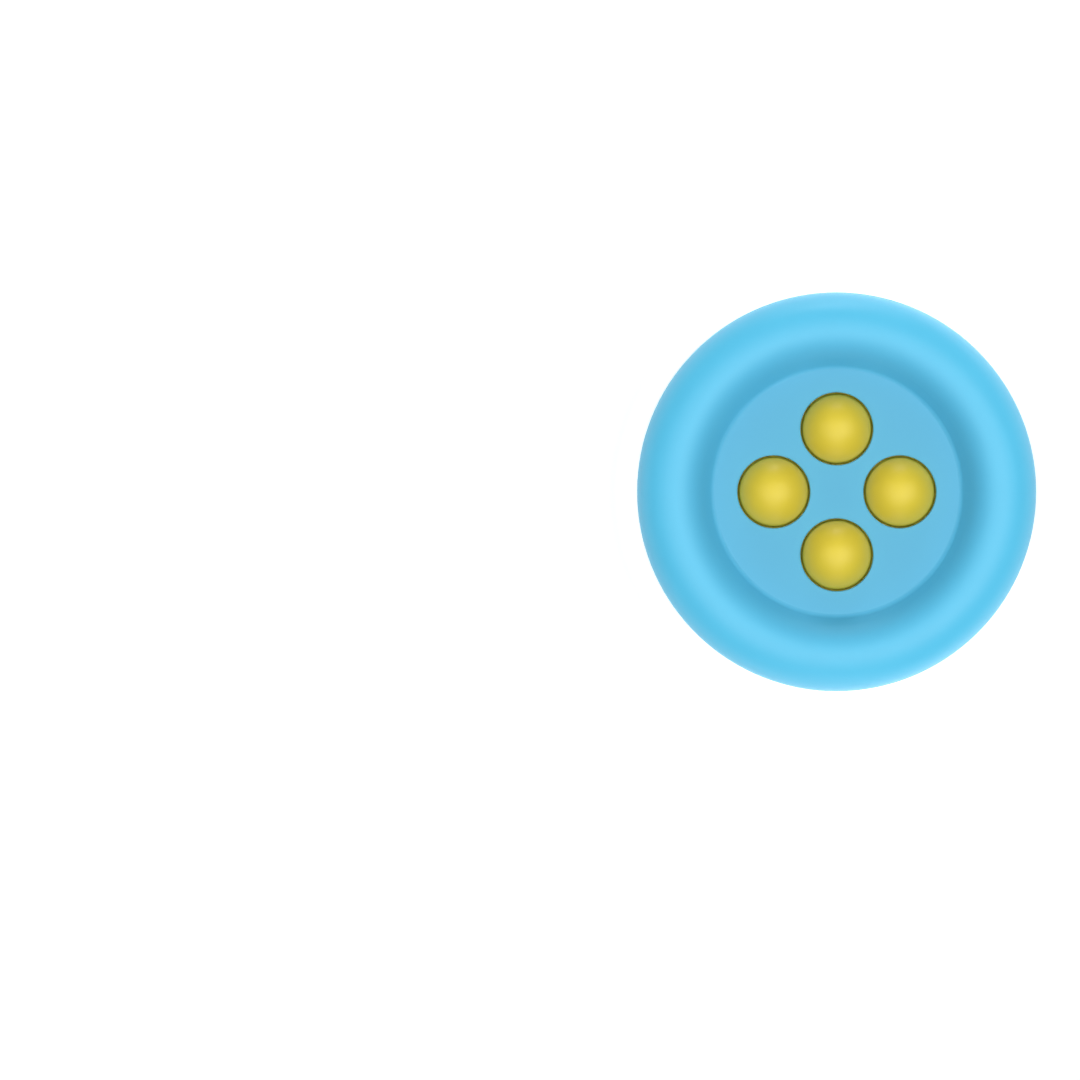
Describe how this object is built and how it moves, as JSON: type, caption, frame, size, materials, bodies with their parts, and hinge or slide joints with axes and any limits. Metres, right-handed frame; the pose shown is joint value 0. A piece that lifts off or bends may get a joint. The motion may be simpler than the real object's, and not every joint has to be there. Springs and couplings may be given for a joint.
{
  "type": "bubble pop fidget toy",
  "caption": "Button-shaped fidget toy: a hollow plastic disc with a round rim clamps soft domed bubbles that pop through its sunken face and stay put until pushed back.",
  "frame": {"origin": "middle of the toy, on the plane of the flat land on the back crest of the rim", "axes": "+Z out of the front face, +Y towards the top bubble, +X towards the right bubble"},
  "size_m": [0.08, 0.08, 0.0148],
  "materials": {
    "shell": "satin light blue ABS, with a finer matte face",
    "bubble": "semi-matte yellow silicone",
    "screw": "bright zinc-plated steel"
  },
  "bodies": {
    "housing": {"front_shell": "shell", "back_shell": "shell", "case_screws": "screw"},
    "bubble_top": {"bubble_top": "bubble"},
    "bubble_right": {"bubble_right": "bubble"},
    "bubble_bottom": {"bubble_bottom": "bubble"},
    "bubble_left": {"bubble_left": "bubble"}
  },
  "joints": [
    {"name": "pop_top", "type": "slide", "parent": "housing", "child": "bubble_top", "axis": [0, 0, -1], "range_m": [0, 0.0133], "deforming": ["bubble_top"]},
    {"name": "pop_right", "type": "slide", "parent": "housing", "child": "bubble_right", "axis": [0, 0, -1], "range_m": [0, 0.0133], "deforming": ["bubble_right"]},
    {"name": "pop_bottom", "type": "slide", "parent": "housing", "child": "bubble_bottom", "axis": [0, 0, -1], "range_m": [0, 0.0133], "deforming": ["bubble_bottom"]},
    {"name": "pop_left", "type": "slide", "parent": "housing", "child": "bubble_left", "axis": [0, 0, -1], "range_m": [0, 0.0133], "deforming": ["bubble_left"]}
  ]
}
